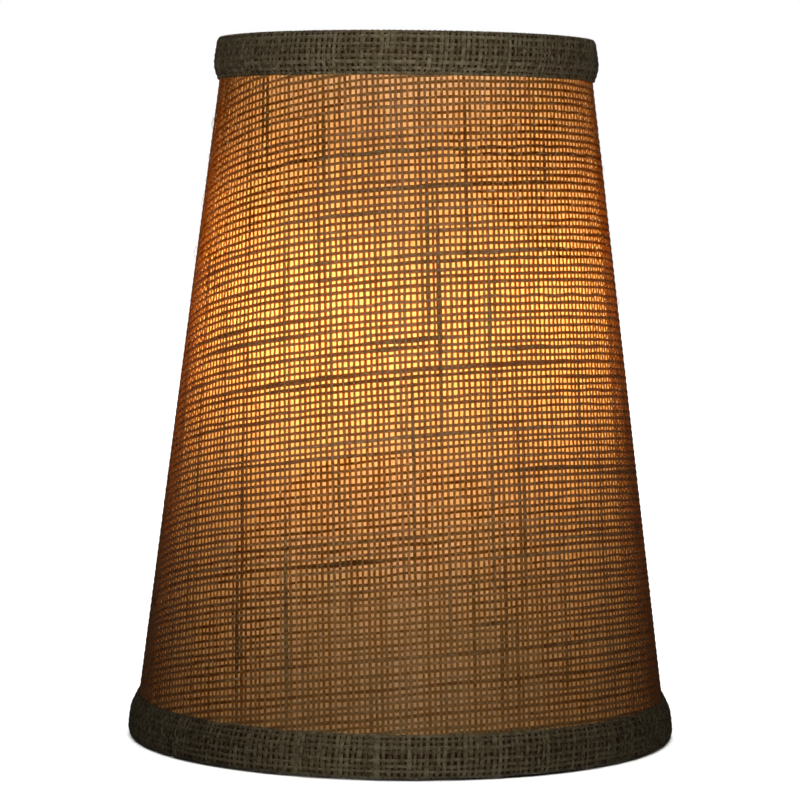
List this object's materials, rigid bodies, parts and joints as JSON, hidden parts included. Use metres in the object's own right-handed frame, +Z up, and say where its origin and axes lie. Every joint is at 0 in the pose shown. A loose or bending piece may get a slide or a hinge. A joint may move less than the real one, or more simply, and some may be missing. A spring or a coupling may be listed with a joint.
{
  "type": "lamp shade",
  "caption": "Tapered round hardback lamp shade in coarse burlap over a translucent liner, with folded trims on wire rims and a sprung bulb clip that tilts on a crossbar.",
  "frame": {"origin": "centre of the bottom rim, in the plane that the shade stands on", "axes": "+Z up the shade's axis to the narrow top, +X along the crossbar, and +Y to the back, where the side seam is"},
  "size_m": [0.179, 0.179, 0.2275],
  "materials": {
    "burlap": "coarse open plain weave, grey-brown, matt, lets light through its gaps",
    "trim_cloth": "closer olive-brown burlap tape, matt, folded over the rim",
    "styrene": "translucent off-white sheet, satin",
    "ring_wire": "drawn steel wire, dull",
    "clip_wire": "nickel-plated spring steel",
    "brass": "plain brass, lightly dulled"
  },
  "bodies": {
    "shade": {"burlap_cover": "burlap", "styrene_liner": "styrene", "top_ring": "ring_wire", "bottom_ring": "ring_wire", "top_trim": "trim_cloth", "bottom_trim": "trim_cloth", "crossbar": "ring_wire", "stop_collar_left": "brass", "stop_collar_right": "brass"},
    "clip": {"clip_saddle": "clip_wire", "pivot_sleeve": "brass"},
    "front_grip": {"loop_front": "clip_wire", "loop_front_ferrule": "brass"},
    "rear_grip": {"loop_rear": "clip_wire", "loop_rear_ferrule": "brass"}
  },
  "joints": [
    {"name": "clip_tilt", "type": "hinge", "parent": "shade", "child": "clip", "pos_m": [0, 0, 0.1935], "axis": [1, 0, 0], "range_deg": [-20, 20]},
    {"name": "rear_grip_open", "type": "hinge", "parent": "clip", "child": "rear_grip", "pos_m": [0, 0.008, 0.1935], "axis": [1, 0, 0], "range_deg": [0, 12], "stiffness_Nm_per_rad": 0.3, "springref_deg": -11.46},
    {"name": "front_grip_open", "type": "hinge", "parent": "clip", "child": "front_grip", "pos_m": [0, -0.008, 0.1935], "axis": [1, 0, 0], "range_deg": [-12, 0], "stiffness_Nm_per_rad": 0.3, "springref_deg": 11.46}
  ],
  "couplings": [
    {"joint": "front_grip_open", "follows": "rear_grip_open", "ratio": -1}
  ]
}
